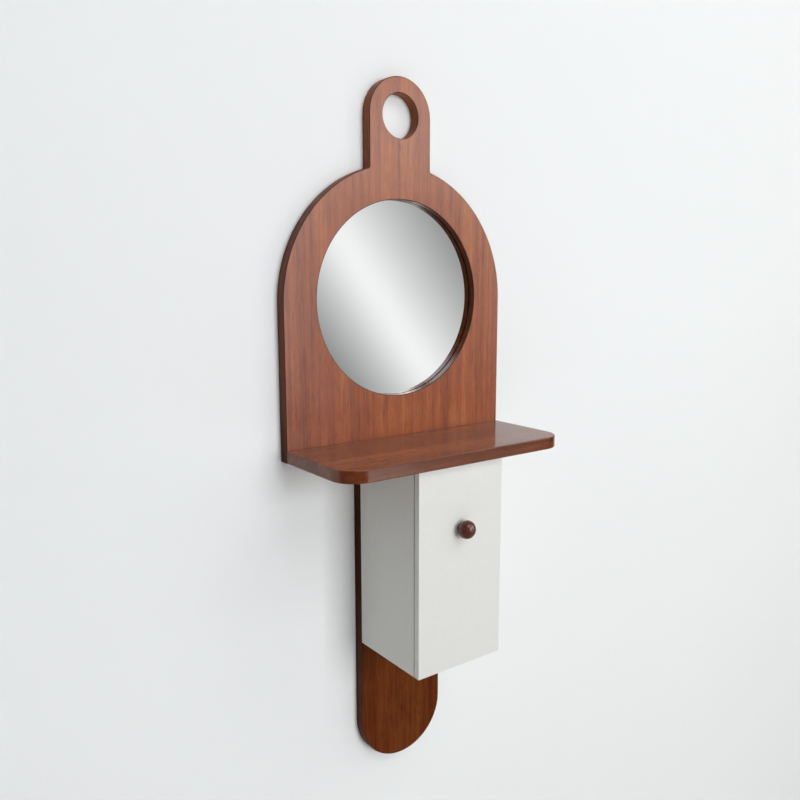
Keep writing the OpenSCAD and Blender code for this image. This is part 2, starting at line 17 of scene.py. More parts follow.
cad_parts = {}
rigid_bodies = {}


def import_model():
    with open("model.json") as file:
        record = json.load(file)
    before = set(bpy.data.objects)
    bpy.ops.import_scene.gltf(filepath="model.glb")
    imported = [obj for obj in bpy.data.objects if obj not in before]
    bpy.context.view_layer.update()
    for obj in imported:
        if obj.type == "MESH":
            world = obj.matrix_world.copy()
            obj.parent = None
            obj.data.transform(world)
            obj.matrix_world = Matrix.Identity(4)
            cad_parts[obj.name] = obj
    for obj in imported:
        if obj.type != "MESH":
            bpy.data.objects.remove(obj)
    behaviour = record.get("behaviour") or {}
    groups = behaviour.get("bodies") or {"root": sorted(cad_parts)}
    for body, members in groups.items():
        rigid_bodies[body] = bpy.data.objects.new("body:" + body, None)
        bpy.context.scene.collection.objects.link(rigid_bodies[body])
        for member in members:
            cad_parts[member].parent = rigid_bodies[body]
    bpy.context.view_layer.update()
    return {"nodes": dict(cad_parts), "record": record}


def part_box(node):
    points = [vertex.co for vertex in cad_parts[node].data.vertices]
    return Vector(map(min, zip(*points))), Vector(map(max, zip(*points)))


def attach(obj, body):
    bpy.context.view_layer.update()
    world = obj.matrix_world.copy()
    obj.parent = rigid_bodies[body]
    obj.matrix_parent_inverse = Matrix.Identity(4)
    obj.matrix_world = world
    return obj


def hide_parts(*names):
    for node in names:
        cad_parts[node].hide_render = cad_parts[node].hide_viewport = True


MM = 0.001
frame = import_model()
print("nodes:", len(frame["nodes"]))

# %% [markdown]
# ## The camera
# A photograph of a straight-edged object tells where the camera stood. The lens, the place and the three
# angles below were worked out from the edges of the board, shelf and cabinet. We build the camera's
# matrix from three directions: right, up and backwards.

# %% Camera
CAMERA_AT = Vector((-716.9, -993.8, -147.3)) * MM
CAMERA_YAW = math.radians(-36.2175)
CAMERA_PITCH = math.radians(-9.2705)
CAMERA_ROLL = math.radians(-0.108)
LENS_PIXELS = 793.89
PHOTO_PIXELS = 800
SENSOR_MM = 36.0


def camera_axes(yaw, pitch, roll):
    """Right, up and forward of a camera that looks along +Y when all angles are zero."""
    forward = Vector((-math.sin(yaw) * math.cos(pitch), math.cos(yaw) * math.cos(pitch), math.sin(pitch)))
    level = Vector((math.cos(yaw), math.sin(yaw), 0.0))
    upright = level.cross(forward)
    right = math.cos(roll) * level + math.sin(roll) * upright
    return right, right.cross(forward), forward


right, up, forward = camera_axes(CAMERA_YAW, CAMERA_PITCH, CAMERA_ROLL)
turn = Matrix((right, up, -forward)).transposed()
lens = bpy.data.cameras.new("photo_camera")
lens.sensor_width = SENSOR_MM
lens.lens = LENS_PIXELS * SENSOR_MM / PHOTO_PIXELS
camera = bpy.data.objects.new("photo_camera", lens)
camera.matrix_world = Matrix.Translation(CAMERA_AT) @ turn.to_4x4()
bpy.context.scene.collection.objects.link(camera)
bpy.context.scene.camera = camera
bpy.context.scene.view_settings.view_transform = "Standard"
print("lens:", round(lens.lens, 2), "mm")

# %% [markdown]
# ## Colours and nodes
# Colours are written the way a painter or a web page writes them, as sRGB hex. Blender's shaders work
# with linear light, so one function turns one into the other.
# A second function gives a socket its value: a plain number or colour is set on the socket itself, and
# a node or another socket is linked to it. A third adds a node, sets it up and connects it.

# %% Helpers for materials
def linear(hex_code):
    """Linear RGBA of an sRGB colour such as 7d4730."""
    parts = [int(hex_code[i:i + 2], 16) / 255 for i in (0, 2, 4)]
    return tuple(c / 12.92 if c <= 0.04045 else ((c + 0.055) / 1.055) ** 2.4 for c in parts) + (1.0,)


def feed(tree, socket, value):
    """Gives a socket a plain value, or links it to another socket or to a node's first output."""
    if isinstance(value, bpy.types.Node):
        value = value.outputs[0]
    if isinstance(value, bpy.types.NodeSocket):
        tree.links.new(value, socket)
    else:
        socket.default_value = value


def add_node(tree, kind, inputs=None, stops=None, **settings):
    """Adds one node. inputs: what to feed by input name or number. stops: those of a colour ramp."""
    made = tree.nodes.new("ShaderNode" + kind)
    for name, value in settings.items():
        setattr(made, name, value)
    for key, value in (inputs or {}).items():
        feed(tree, made.inputs[key], value)
    for i, (place, colour) in enumerate(stops or []):
        ramp = made.color_ramp.elements
        stop = ramp[i] if i < 2 else ramp.new(place)
        stop.position = place
        stop.color = colour
    return made


def new_material(name, **surface):
    """A material with one Principled shader. surface: its plain values, with _ for a space."""
    material = bpy.data.materials.new(name)
    material.use_nodes = True
    tree = material.node_tree
    shader = tree.nodes["Principled BSDF"]
    for key, value in surface.items():
        shader.inputs[key.replace("_", " ")].default_value = value
    print("material:", name)
    return material, tree, shader


print("sRGB 808080 in linear light:", round(linear("808080")[0], 3))

# %% [markdown]
# ## Millimetres inside a material
# A pattern looks right only at its real size. These helpers take the place on the piece and divide it
# by the size of the pattern in each direction, so a grain that is 1.3 mm wide is written as 1.3.
# A third helper adds several patterns to one tone, each with its own weight.

# %% Patterns at their real size
def pattern_space(tree, size_mm):
    """The place on the object in steps of size_mm = (x, y, z)."""
    place = add_node(tree, "TexCoord").outputs["Object"]
    steps = tuple(1 / (MM * size) for size in size_mm)
    return add_node(tree, "VectorMath", {0: place, 1: steps}, operation="MULTIPLY")


def soft_spots(tree, size_mm, detail=2.0, roughness=0.5):
    """Soft random spots of about size_mm, from 0 to 1 around 0.5."""
    return add_node(tree, "TexNoise", {"Vector": pattern_space(tree, size_mm), "Scale": 1.0,
                                       "Detail": detail, "Roughness": roughness})


def weighted(tree, base, *parts):
    """base + the sum of weight * (part - 0.5), one pair of pattern and weight at a time."""
    total = base
    for part, weight in parts:
        centred = add_node(tree, "Math", {0: part, 1: 0.5}, operation="SUBTRACT")
        total = add_node(tree, "Math", {0: centred, 1: weight, 2: total}, operation="MULTIPLY_ADD")
    return total


# %% [markdown]
# ## A surface that drifts
# Hardly any real surface has one flat colour. Paint, metal and plastic drift a little in tone and in
# gloss from place to place, and the eye reads that drift as a real material. One function can serve all
# of them: the same pattern moves the colour, the roughness and a light bump together.

# %% A speckled material
SPECKLE_BUMP = 0.5


def speckled(name, low, high, size_mm, rough, bump_mm=0.0, rough_play=0.04, **surface):
    """A material whose colour drifts from low to high over size_mm, with a light bump of the same size."""
    material, tree, shader = new_material(name, **surface)
    drift = soft_spots(tree, (size_mm,) * 3)
    colour = add_node(tree, "Mix", {0: drift, 6: linear(low), 7: linear(high)}, data_type="RGBA")
    gloss = add_node(tree, "MapRange", {"Value": drift, "To Min": rough - rough_play,
                                        "To Max": rough + rough_play})
    feed(tree, shader.inputs["Base Color"], colour.outputs[2])
    feed(tree, shader.inputs["Roughness"], gloss)
    if bump_mm:
        bump = add_node(tree, "Bump", {"Height": drift, "Strength": SPECKLE_BUMP, "Distance": bump_mm * MM})
        feed(tree, shader.inputs["Normal"], bump)
    return material


# %% [markdown]
# ## Walnut veneer
# The board is a panel under reddish walnut veneer. A veneer is laid in leaves, strips about 100 mm wide
# that are cut from the same log and glued edge to edge. So the tone jumps a little at each joint, and
# inside a leaf it changes slowly across the grain and hardly at all along it.
# We build it in layers: a ramp across the board for the leaves, streaks at two widths, a faint cross
# figure that makes the wood shimmer, and short dark pores. Real pores are 0.2 mm wide. They are drawn
# 0.8 mm wide here, because finer ones would vanish between the pixels.

# %% Sizes and colours of the grain
WOOD_STOPS = [(0.22, linear("6a220c")), (0.5, linear("9f5023")), (0.78, linear("c87538"))]
# Each pattern's size in millimetres: across the grain, into the wood, along the grain
WANDER_MM = (60, 60, 420)
BROAD_STREAK_MM = (8, 8, 260)
FINE_STREAK_MM = (1.3, 1.3, 50)
CROSS_FIGURE_MM = (14, 14, 30)
PORE_MM = (0.8, 0.8, 11)
# How much a pattern moves the tone
BROAD_STREAK = 0.44
FINE_STREAK = 0.36
CROSS_FIGURE = 0.14
# How many millimetres a leaf's joint wanders sideways
WANDER_REACH = 8.0
# A pore is where its pattern rises from the first value to the second. PORE_SHADE is how dark it gets
PORE_FROM = 0.64
PORE_TO = 0.74
PORE_SHADE = 0.7
WOOD_ROUGHNESS = 0.55
ROUGHNESS_PLAY = 0.06
GRAIN_BUMP = 0.25
GRAIN_DEPTH = 0.15

# %% [markdown]
# The tones across the board are read from its left edge to its right edge, and the joints between the
# leaves are the places where two stops lie close together.
# Two more ramps run up the board, from the end of the tail to the top of the tab. The first is painted
# light: the wood is painted palest just above the shelf, a little darker towards the tab, and darkest on
# the tail, which is painted shade. The finish is a satin lacquer: Blender's coat is a clear layer over the
# wood, so it gives the soft white sheen and leaves the wood its own colour. The second ramp makes the coat
# thin on the tail, so the tail shows hardly any sheen.
# The edges are banded with the same wood. The bands are painted darker than the faces, a painted shade on
# edges that turn away from the light; up the board they are painted darkest beside the cabinet, a painted
# shade, and lightest at the tab, a painted light.

# %% Tones, brightness and coat
BOARD_REACH = 200.0
BOARD_TONES = [
    (0.00, 0.42), (0.06, 0.40), (0.115, 0.38), (0.155, 0.49), (0.19, 0.41), (0.235, 0.50), (0.252, 0.50),
    (0.256, 0.43), (0.33, 0.46), (0.42, 0.51), (0.465, 0.53), (0.494, 0.51), (0.498, 0.37), (0.503, 0.54),
    (0.55, 0.52), (0.60, 0.46), (0.68, 0.46), (0.748, 0.43), (0.754, 0.48), (0.79, 0.48), (0.81, 0.57),
    (0.84, 0.54), (0.87, 0.46), (0.94, 0.49), (1.00, 0.45),
]
# The shelf's front edge is SHELF_REACH in front of the wall. Its tones run from there towards the wall
SHELF_REACH = 173.0
SHELF_TONES = [(0.0, 0.45), (0.15, 0.62), (0.24, 0.40), (0.4, 0.58), (0.55, 0.42)]
BOARD_LOW = -940.0
BOARD_HIGH = 131.0
# Painted light: the wood's brightness up the board, darkest on the tail as painted shade
BOARD_PAINTED_LIGHT = [(0.0, 0.38), (0.27, 0.38), (0.5, 0.88), (0.6, 0.87), (0.76, 0.785), (0.93, 0.77)]
# Painted light on the board's bands: darkest beside the cabinet as painted shade, lightest at the tab
BOARD_BAND_PAINTED_LIGHT = [
    (0.0, 0.26), (0.17, 0.25), (0.3, 0.17), (0.46, 0.17), (0.6, 0.46), (0.8, 0.48), (0.93, 0.76),
]
SHELF_SHINE = 0.68
# The shelf's bands are painted darker than its top, a painted shade
SHELF_BAND_PAINTED_SHADE = 0.43
BOARD_COAT = [(0.0, 0.12), (0.27, 0.12), (0.42, 1.0), (1.0, 1.0)]
BOARD_BAND_COAT = [(0.0, 0.26), (0.17, 0.26), (0.3, 0.17), (0.46, 0.17), (0.55, 0.4), (0.93, 0.45)]
SHELF_COAT = 0.9
SHELF_BAND_COAT = 0.92
OPENING_COAT = 0.8
# Roughness of the coat
BOARD_GLOSS = 0.28
OPENING_GLOSS = 0.26
SHELF_BAND_GLOSS = 0.2
SHELF_GLOSS = 0.11
COAT_IOR = 1.5


# %% Veneer
def greys(pairs):
    """Stops of a colour ramp through greys, from pairs of place and tone."""
    return [(place, (tone, tone, tone, 1)) for place, tone in pairs]


def veneer(name, along, tones, reach_mm, brightness_and_painted_light, coat_rough, coat):
    """Walnut with its grain along 'X' or 'Z'. Its tones run from -reach_mm to reach_mm across the grain.
    brightness_and_painted_light (the brightness, with painted light and shade up the board) and coat are
    plain numbers, or pairs of place and number up the board."""
    material, tree, shader = new_material(name, Specular_IOR_Level=0.0,
                                          Coat_Roughness=coat_rough, Coat_IOR=COAT_IOR)
    place = add_node(tree, "SeparateXYZ", {0: add_node(tree, "TexCoord").outputs["Object"]})

    def size(across, deep, length):
        return (across, deep, length) if along == "Z" else (length, across, deep)

    def up_the_board(value):
        if isinstance(value, float):
            return value
        height = add_node(tree, "MapRange", {"Value": place.outputs["Z"], "From Min": BOARD_LOW * MM,
                                             "From Max": BOARD_HIGH * MM})
        return add_node(tree, "ValToRGB", {0: height}, greys(value))

    across = place.outputs["X" if along == "Z" else "Y"]
    wander = soft_spots(tree, size(*WANDER_MM), detail=1.0)
    drift = add_node(tree, "Math", {0: wander, 1: WANDER_REACH * MM, 2: across}, operation="MULTIPLY_ADD")
    start = (WANDER_REACH / 2 - reach_mm) * MM
    leaf = add_node(tree, "MapRange", {"Value": drift, "From Min": start,
                                       "From Max": start + 2 * reach_mm * MM})
    tone = weighted(
        tree, add_node(tree, "ValToRGB", {0: leaf}, greys(tones)),
        (soft_spots(tree, size(*BROAD_STREAK_MM)), BROAD_STREAK),
        (soft_spots(tree, size(*FINE_STREAK_MM)), FINE_STREAK),
        (soft_spots(tree, size(*CROSS_FIGURE_MM), detail=1.0), CROSS_FIGURE),
    )
    colour = add_node(tree, "ValToRGB", {0: tone}, WOOD_STOPS)
    pores = soft_spots(tree, size(*PORE_MM), detail=0.0)
    pore = add_node(tree, "MapRange", {"Value": pores, "From Min": PORE_FROM, "From Max": PORE_TO,
                                       "To Min": 1.0, "To Max": PORE_SHADE})
    bright = add_node(tree, "Math", {0: up_the_board(brightness_and_painted_light), 1: pore}, operation="MULTIPLY")
    wood = add_node(tree, "VectorMath", {0: colour, 1: bright}, operation="MULTIPLY")
    gloss = add_node(tree, "MapRange", {"Value": tone, "To Min": WOOD_ROUGHNESS + ROUGHNESS_PLAY,
                                        "To Max": WOOD_ROUGHNESS - ROUGHNESS_PLAY})
    bump = add_node(tree, "Bump", {"Height": tone, "Strength": GRAIN_BUMP, "Distance": GRAIN_DEPTH * MM})
    feed(tree, shader.inputs["Base Color"], wood)
    feed(tree, shader.inputs["Roughness"], gloss)
    feed(tree, shader.inputs["Coat Weight"], up_the_board(coat))
    feed(tree, shader.inputs["Normal"], bump)
    return material


# %% [markdown]
# The board's faces, the shelf and their edge bands each get their own veneer. The wall of the mirror's
# opening has the board's band with an even, thicker coat, so it shines all the way round.
# A thin dark line of painted shade runs on the front arris, where the face meets the band.

# %% Veneers for the board and the shelf
walnut_board = veneer("walnut_veneer_upright_grain", "Z", BOARD_TONES, BOARD_REACH,
                      BOARD_PAINTED_LIGHT, BOARD_GLOSS, BOARD_COAT)
walnut_shelf = veneer("walnut_veneer_long_grain", "X", SHELF_TONES, SHELF_REACH,
                      SHELF_SHINE, SHELF_GLOSS, SHELF_COAT)
board_band = veneer("walnut_edge_band_upright", "Z", BOARD_TONES, BOARD_REACH,
                    BOARD_BAND_PAINTED_LIGHT, BOARD_GLOSS, BOARD_BAND_COAT)
opening_band = veneer("walnut_edge_band_polished", "Z", BOARD_TONES, BOARD_REACH,
                      BOARD_BAND_PAINTED_LIGHT, OPENING_GLOSS, OPENING_COAT)
shelf_band = veneer("walnut_edge_band_long", "X", SHELF_TONES, SHELF_REACH,
                    SHELF_BAND_PAINTED_SHADE, SHELF_BAND_GLOSS, SHELF_BAND_COAT)
# Painted shade: a thin dark line for the front arris
painted_arris_shade = speckled("walnut_arris_painted_shade", "23100a", "2f170d", size_mm=6, rough=0.6)

# %% [markdown]
# ## Turned walnut
# The knob is solid walnut, turned on a lathe and polished. It is darker than the veneer, because end
# grain drinks the finish, and glossier, so it shows a small highlight.

# %% Turned walnut
KNOB_GRAIN_MM = (3, 12, 2)
KNOB_TONE = 0.4
KNOB_CONTRAST = 1.7
walnut_turned, tree, shader = new_material("walnut_turned_polished", Roughness=0.4, Specular_IOR_Level=0.3,
                                           Coat_Weight=0.6, Coat_Roughness=0.12)
grain = weighted(tree, KNOB_TONE, (soft_spots(tree, KNOB_GRAIN_MM, roughness=0.6), KNOB_CONTRAST))
stain = add_node(tree, "ValToRGB", {0: grain}, [(0.0, linear("2c120a")), (1.0, linear("7e3c27"))])
feed(tree, shader.inputs["Base Color"], stain)

# %% [markdown]
# ## Lacquer, glass, metal and the rest
# The cabinet is fibreboard under sprayed satin lacquer, a warm pale grey. A sprayed coat is never quite
# flat: its surface waves over a few millimetres, and its tone drifts a little.

# %% Lacquer
white_lacquer = speckled("lacquered_fibreboard_satin", "dddcd5", "e3e2dc",
                         size_mm=5, rough=0.42, bump_mm=0.01)

# %% [markdown]
# The mirror is float glass with silver behind it. A front face that reflects nearly everything stands
# for both: at this scale the 3 mm of glass shows only as a slightly cool tint.

# %% Mirror glass
silvered_glass = speckled("silvered_float_glass", "f3f4f4", "f5f6f6",
                          size_mm=90, rough=0.012, rough_play=0.004, Metallic=1.0)

# %% [markdown]
# The hidden pieces still have their own finishes: hardboard behind the glass, beech dowels, nickel and
# zinc plated steel, a white plastic catch and its ferrite magnet. Hardboard is pressed fibre, matt and
# brown. Plating gives steel a bright, even skin: nickel is a little warm, zinc a little blue.

# %% Small finishes
hardboard = speckled("hardboard_smooth", "5f4228", "6f4f33", size_mm=1.2, rough=0.7, bump_mm=0.03)
beech = speckled("beech_raw", "c79f72", "d4b083", size_mm=1.5, rough=0.6, bump_mm=0.02)
nickel_plate = speckled("nickel_plated_steel_satin", "b9b5ad", "c6c2ba",
                        size_mm=2, rough=0.3, bump_mm=0.004, Metallic=1.0)
zinc_plate = speckled("zinc_plated_steel", "b4b9be", "c8ccd0",
                      size_mm=1, rough=0.36, bump_mm=0.004, Metallic=1.0)
white_plastic = speckled("white_moulded_plastic", "e4e4e0", "ecece8", size_mm=3, rough=0.45, bump_mm=0.01)
ferrite = speckled("ferrite_ceramic", "28282a", "343437", size_mm=0.6, rough=0.65, bump_mm=0.02)

# %% [markdown]
# ## One material for each piece
# The part's record names a slot for each piece. We give every CAD piece the material of its slot. The
# pieces that we build again further on take theirs from here too.

# %% Materials by slot
MATERIALS = {
    "walnut_veneer": walnut_board,
    "turned_walnut": walnut_turned,
    "white_lacquer": white_lacquer,
    "silvered_glass": silvered_glass,
    "hardboard": hardboard,
    "beech": beech,
    "nickel_plate": nickel_plate,
    "zinc_plate": zinc_plate,
    "white_plastic": white_plastic,
    "ferrite": ferrite,
}
SLOT_OF = {row["node"]: row["material_slot"] for row in frame["record"]["subparts"]}
for name, node in frame["nodes"].items():
    for slot in node.material_slots:
        slot.material = MATERIALS[SLOT_OF[name]]
print("slots:", len(MATERIALS))

# %% [markdown]
# ## Shared steps for new pieces
# The CAD part has perfectly sharp arrises. A real one is eased with sandpaper, and that thin rounded
# line catches the light. So each piece that we see is built again with eased arrises.
# Three steps are shared. The first hands a piece over to its body. The second makes flat faces shade
# flat and rounded arrises shade round, with Blender's Weighted Normal modifier. The third gives the
# edges of a board their band: it picks faces by the direction that they look in.

# %% Helpers for pieces
SHARP_ANGLE = 40.0
EDGE_END = 0.4


def new_piece(name, mesh, node, material):
    """Puts a mesh in the scene in place of one CAD node, on that node's body."""
    piece = bpy.data.objects.new(name, mesh)
    bpy.context.scene.collection.objects.link(piece)
    mesh.materials.clear()
    mesh.materials.append(material)
    body = next(b for b, names in frame["record"]["behaviour"]["bodies"].items() if node in names)
    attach(piece, body)
    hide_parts(node)
    print("piece:", name, "on body", body)
    return piece


def apply_modifiers(piece):
    """Turns a piece's modifiers into plain mesh."""
    graph = bpy.context.evaluated_depsgraph_get()
    made = bpy.data.meshes.new_from_object(piece.evaluated_get(graph))
    piece.modifiers.clear()
    piece.data = made


def shade_eased(piece):
    """Smooth over rounded arrises, flat on flat faces, sharp where faces meet at more than SHARP_ANGLE."""
    piece.data.shade_smooth()
    piece.data.set_sharp_from_angle(angle=math.radians(SHARP_ANGLE))
    normals = piece.modifiers.new("flat_faces", "WEIGHTED_NORMAL")
    normals.keep_sharp = True
    apply_modifiers(piece)


def band_edges(piece, axis, start, material, centre=(0, 0, 0), reach=math.inf):
    """Adds a material on the faces whose normal along axis is between -start and EDGE_END.
    Only faces within reach of centre count, both in metres."""
    piece.data.materials.append(material)
    for face in piece.data.polygons:
        if -start < face.normal[axis] < EDGE_END and (face.center - Vector(centre)).length < reach:
            face.material_index = len(piece.data.materials) - 1


# %% [markdown]
# ## The board
# The outline of the board is straight lines and arcs, so we write it as points along arcs. A flat curve
# object can do the rest: it fills an outline with holes, gives it thickness, and rounds its arrises.
# The outline and the holes run in opposite directions, so that the rounding goes the right way on each.

# %% Sizes of the board, in millimetres
board_low, board_high = (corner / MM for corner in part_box("back_board"))
shelf_low, shelf_high = (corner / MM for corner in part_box("shelf"))
glass_low, glass_high = (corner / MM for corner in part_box("mirror_glass"))
BOARD_T = board_high.y - board_low.y
ARCH_R = board_high.x
GLASS_R = glass_high.x
MIRROR_Z = (glass_low.z + glass_high.z) / 2
MIRROR_RISE = 3.5
ARCH_Z = MIRROR_Z - MIRROR_RISE
TAB_R = 55.0
TAB_Z = 75.5
TAB_HOLE_R = 32.0
OPENING_R = 146.5
TAIL_R = 77.0
TAIL_Z = -860.0
WIDE_BOTTOM = shelf_low.z
CUTTER_R = 4.0
BOARD_ARRIS = 1.0
print("board:", round(BOARD_T, 2), "thick, arch radius", round(ARCH_R, 2))

# %% Outlines
POINT_STEP = 2.0
FEWEST_STEPS = 6


def arc(centre_x, centre_y, radius, start, end):
    """Points of an arc in millimetres, from one angle to another in degrees."""
    steps = max(FEWEST_STEPS, math.ceil(abs(math.radians(end - start)) * radius / POINT_STEP))
    angles = [math.radians(start + (end - start) * i / steps) for i in range(steps + 1)]
    return [(centre_x + radius * math.cos(a), centre_y + radius * math.sin(a)) for a in angles]


def board_outline():
    """The board from the front, from the top of the tab down its left side and up its right side."""
    corner_x = TAB_R + CUTTER_R
    corner_up = math.sqrt((ARCH_R + CUTTER_R) ** 2 - corner_x ** 2)
    lean = math.degrees(math.atan2(corner_up, corner_x))
    left = (
        arc(0, TAB_Z, TAB_R, 90, 180)
        + arc(-corner_x, ARCH_Z + corner_up, CUTTER_R, 0, -lean)
        + arc(0, ARCH_Z, ARCH_R, 180 - lean, 180)
        + [(-ARCH_R, WIDE_BOTTOM)]
        + arc(-TAIL_R - CUTTER_R, WIDE_BOTTOM - CUTTER_R, CUTTER_R, 90, 0)
        + arc(0, TAIL_Z, TAIL_R, 180, 270)
    )
    right_side = [(-x, z) for x, z in reversed(left)]
    return left + right_side[1:-1]


print("outline:", len(board_outline()), "points")

# %% A plate from outlines
ARRIS_ROUNDS = 2
MERGE = 0.01


def filled_curve(name, outlines):
    """A flat curve object in X and Y that fills the first outline and leaves the others open."""
    curve = bpy.data.curves.new(name, "CURVE")
    curve.dimensions = "2D"
    curve.fill_mode = "BOTH"
    for points in outlines:
        line = curve.splines.new("POLY")
        line.points.add(len(points) - 1)
        line.use_cyclic_u = True
        for point, (x, y) in zip(line.points, points):
            point.co = (x * MM, y * MM, 0, 1)
    return bpy.data.objects.new(name, curve)


def plate_mesh(name, outlines, thickness, arris):
    """A flat plate in X and Y, thickness along Z about 0, with rounded arrises. All in millimetres."""
    holder = filled_curve(name, outlines)
    holder.data.extrude = (thickness / 2 - arris) * MM
    holder.data.bevel_depth = arris * MM
    holder.data.bevel_resolution = ARRIS_ROUNDS
    holder.data.offset = -arris * MM
    mesh = bpy.data.meshes.new_from_object(holder)
    bpy.data.objects.remove(holder)
    work = bmesh.new()
    work.from_mesh(mesh)
    bmesh.ops.remove_doubles(work, verts=work.verts, dist=MERGE * MM)
    bmesh.ops.recalc_face_normals(work, faces=work.faces)
    open_edges = sum(not edge.is_manifold for edge in work.edges)
    work.to_mesh(mesh)
    work.free()
    print(name, "has", len(mesh.polygons), "faces and", open_edges, "open edges")
    return mesh


# %% The board's plate
STAND_UP = Matrix.Rotation(math.radians(90), 4, "X")
mesh = plate_mesh("board_plate", [
    board_outline(),
    arc(0, MIRROR_Z, OPENING_R, 360, 0)[:-1],
    arc(0, TAB_Z, TAB_HOLE_R, 360, 0)[:-1],
], BOARD_T, BOARD_ARRIS)
mesh.transform(Matrix.Translation((0, -BOARD_T / 2 * MM, 0)) @ STAND_UP)
board = new_piece("shaped_board", mesh, "back_board", walnut_board)

# %% [markdown]
# ## The back of the board
# Behind the mirror the board has a rabbet for the glass, and it has recesses for the clips, the two
# keyhole plates and the screw heads. In front of the glass a narrow groove runs round the opening. It
# gives the black line that we see between the wood and the mirror.
# Each is a plain shape, so we cut them with a Boolean modifier that takes a whole collection of cutters
# at once.

# %% Sizes of the cuts, in millimetres
GLASS_PLAY = 0.5
GLASS_DEPTH = -glass_low.y
GROOVE = 1.6
CLIP_GRIP = 9.0
CLIP_START = GLASS_R - CLIP_GRIP
CLIP_L = 30.0
CLIP_W = 12.0
CLIP_T = 1.0
CLIP_N = 6
PLATE_X = 35.0
PLATE_W = 18.4
PLATE_H = 44.4
PLATE_T = 1.5
POCKET_W = 13.0
POCKET_H = 23.0
POCKET_T = 10.0
SHELF_SCREW_X = 150.0
SHELF_SCREW_Z = (shelf_low.z + shelf_high.z) / 2
SHELF_HEAD_R = 4.3
SHELF_HEAD_T = 2.05
WALL_HOLE_R = 2.5
WALL_HOLE_ZS = (-477.0, -662.0)
# How far a cutter stands out of the wood, so that it cuts clean through the surface
PAST = 1.0
print("glass rabbet:", round(GLASS_DEPTH, 2), "deep")

# %% Cutters for the back
cutters = bpy.data.collections.new("cutters")
bpy.context.scene.collection.children.link(cutters)


def cutter(name, points, depth, place, angle=0):
    """A cutter from an outline in X and Z, turned by angle and moved to place, from just behind the
    board's back to depth. All in millimetres and degrees."""
    work = bmesh.new()
    ring = [work.verts.new((x * MM, PAST * MM, z * MM)) for x, z in points]
    face = work.faces.new(ring)
    deep = bmesh.ops.extrude_face_region(work, geom=[face])["geom"]
    moved = [v for v in deep if isinstance(v, bmesh.types.BMVert)]
    bmesh.ops.translate(work, verts=moved, vec=(0, -(depth + PAST) * MM, 0))
    bmesh.ops.recalc_face_normals(work, faces=work.faces)
    mesh = bpy.data.meshes.new(name)
    work.to_mesh(mesh)
    work.free()
    turned = Matrix.Rotation(math.radians(angle), 4, "Y")
    mesh.transform(Matrix.Translation((place[0] * MM, 0, place[1] * MM)) @ turned)
    cutters.objects.link(bpy.data.objects.new(name, mesh))


def slot_outline(width, height):
    """A strip with round ends, height from end to end."""
    reach = (height - width) / 2
    return arc(0, reach, width / 2, 0, 180) + arc(0, -reach, width / 2, 180, 360)


def circle(radius):
    """A closed circle about 0."""
    return arc(0, 0, radius, 0, 360)[:-1]


cutter("shadow_groove", circle(OPENING_R + GROOVE), GLASS_DEPTH + GROOVE, (0, MIRROR_Z))
cutter("glass_rabbet", circle(GLASS_R + GLASS_PLAY), GLASS_DEPTH, (0, MIRROR_Z))
clip = [(CLIP_START, -CLIP_W / 2), (CLIP_START + CLIP_L, -CLIP_W / 2),
        (CLIP_START + CLIP_L, CLIP_W / 2), (CLIP_START, CLIP_W / 2)]
for i in range(CLIP_N):
    cutter("clip_recess", clip, CLIP_T, (0, MIRROR_Z), i * 360 / CLIP_N)
for side in (-1, 1):
    cutter("plate_recess", slot_outline(PLATE_W, PLATE_H), PLATE_T, (side * PLATE_X, 0))
    cutter("keyhole_pocket", slot_outline(POCKET_W, POCKET_H), POCKET_T, (side * PLATE_X, 0))
for i in (-1, 0, 1):
    cutter("screw_head", circle(SHELF_HEAD_R), SHELF_HEAD_T, (i * SHELF_SCREW_X, SHELF_SCREW_Z))
for z in WALL_HOLE_ZS:
    cutter("wall_hole", circle(WALL_HOLE_R), BOARD_T + PAST, (0, z))

# %% Cut the back
cut = board.modifiers.new("cut", "BOOLEAN")
cut.operation = "DIFFERENCE"
cut.operand_type = "COLLECTION"
cut.collection = cutters
cut.solver = "EXACT"
apply_modifiers(board)
for piece in list(cutters.objects):
    bpy.data.objects.remove(piece)
bpy.data.collections.remove(cutters)
shade_eased(board)
print("board:", len(board.data.polygons), "faces")

# %% [markdown]
# The edges come last, because the cut makes new faces. The dark line of painted shade goes on everything
# that leans away from the front. Then the bands cover the edge itself, and the line is left on the front
# arris only.

# %% The board's edges
LINE_START = 0.97
EDGE_START = 0.4
OPENING_MARGIN = 5.0
band_edges(board, 1, LINE_START, painted_arris_shade)
band_edges(board, 1, EDGE_START, board_band)
band_edges(board, 1, EDGE_START, opening_band, (0, 0, MIRROR_Z * MM), (OPENING_R + OPENING_MARGIN) * MM)
print("materials on the board:", len(board.data.materials))

# %% [markdown]
# ## The shelf
# The shelf is the same kind of plate, lying flat. Only its two front corners are round. Hands touch its
# arris more often than the board's, so it is eased more.

